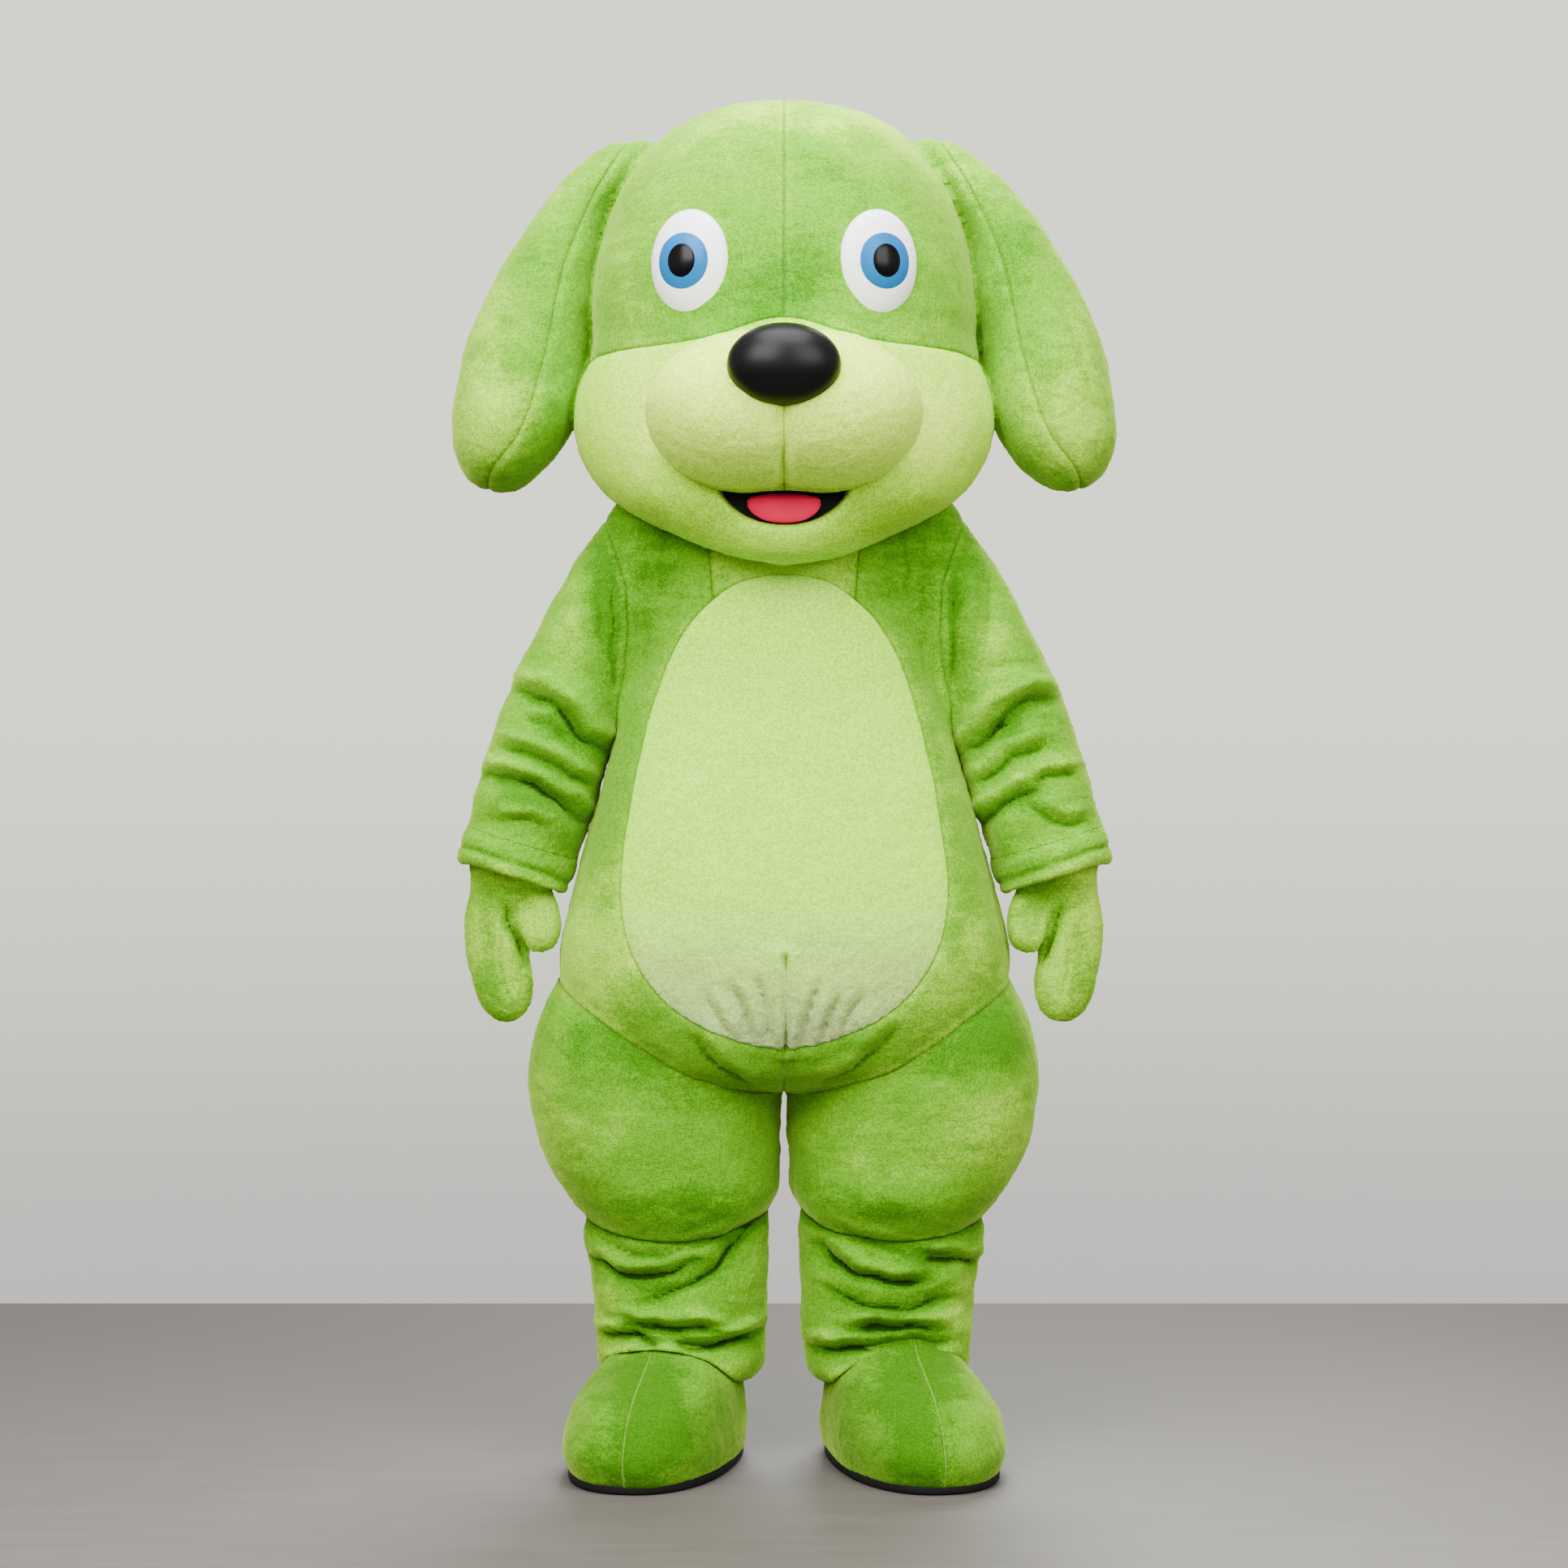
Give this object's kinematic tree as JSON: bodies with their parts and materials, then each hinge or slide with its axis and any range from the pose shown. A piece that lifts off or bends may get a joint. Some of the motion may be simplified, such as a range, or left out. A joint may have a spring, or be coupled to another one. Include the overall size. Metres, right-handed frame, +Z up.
{
  "type": "dog mascot costume",
  "caption": "Plush dog costume with a hollow foam-backed head, floppy ears, one-piece suit with tail, mitts and boots, worn by one adult",
  "frame": {"origin": "on the wearer's shoulders, on the costume's centre line, 1.370 m above the soles", "axes": "+X is the costume's left side, -Y is its front, +Z is up"},
  "size_m": [0.9364, 0.7451, 1.9],
  "materials": {
    "plush_green": "short-pile plush, brushed, matt with a soft sheen",
    "plush_belly": "short-pile plush, pale yellow green, matt",
    "plush_face": "short-pile plush, light green, matt",
    "sole_rubber": "textured black rubber, matt",
    "nose_vinyl": "satin black vinyl",
    "eye_white_vinyl": "smooth white vinyl",
    "eye_iris_vinyl": "smooth blue vinyl",
    "eye_pupil_vinyl": "smooth black vinyl",
    "mouth_mesh": "black see-out mesh",
    "tongue_felt": "pink felt, matt"
  },
  "bodies": {
    "root": {"belly_patch": "plush_belly", "body_back_left": "plush_green", "body_back_right": "plush_green", "body_front_left": "plush_green", "body_front_right": "plush_green", "boot_inner_left": "plush_green", "boot_inner_right": "plush_green", "boot_outer_left": "plush_green", "boot_outer_right": "plush_green", "cuff_left": "plush_green", "cuff_right": "plush_green", "ear_inner_left": "plush_green", "ear_inner_right": "plush_green", "ear_outer_left": "plush_green", "ear_outer_right": "plush_green", "eye_iris_left": "eye_iris_vinyl", "eye_iris_right": "eye_iris_vinyl", "eye_pupil_left": "eye_pupil_vinyl", "eye_pupil_right": "eye_pupil_vinyl", "eye_white_left": "eye_white_vinyl", "eye_white_right": "eye_white_vinyl", "head_back_left": "plush_green", "head_back_right": "plush_green", "head_crown_left": "plush_green", "head_crown_right": "plush_green", "head_face": "plush_face", "mitt_back_left": "plush_green", "mitt_back_right": "plush_green", "mitt_front_left": "plush_green", "mitt_front_right": "plush_green", "mouth_lining": "mouth_mesh", "muzzle_left": "plush_face", "muzzle_right": "plush_face", "neck_yoke": "plush_green", "nose": "nose_vinyl", "seat_left": "plush_green", "seat_right": "plush_green", "shin_back_left": "plush_green", "shin_back_right": "plush_green", "shin_front_left": "plush_green", "shin_front_right": "plush_green", "sleeve_back_left": "plush_green", "sleeve_back_right": "plush_green", "sleeve_front_left": "plush_green", "sleeve_front_right": "plush_green", "sole_left": "sole_rubber", "sole_right": "sole_rubber", "tail": "plush_green", "thigh_back_left": "plush_green", "thigh_back_right": "plush_green", "thigh_front_left": "plush_green", "thigh_front_right": "plush_green", "tongue": "tongue_felt"}
  },
  "joints": []
}
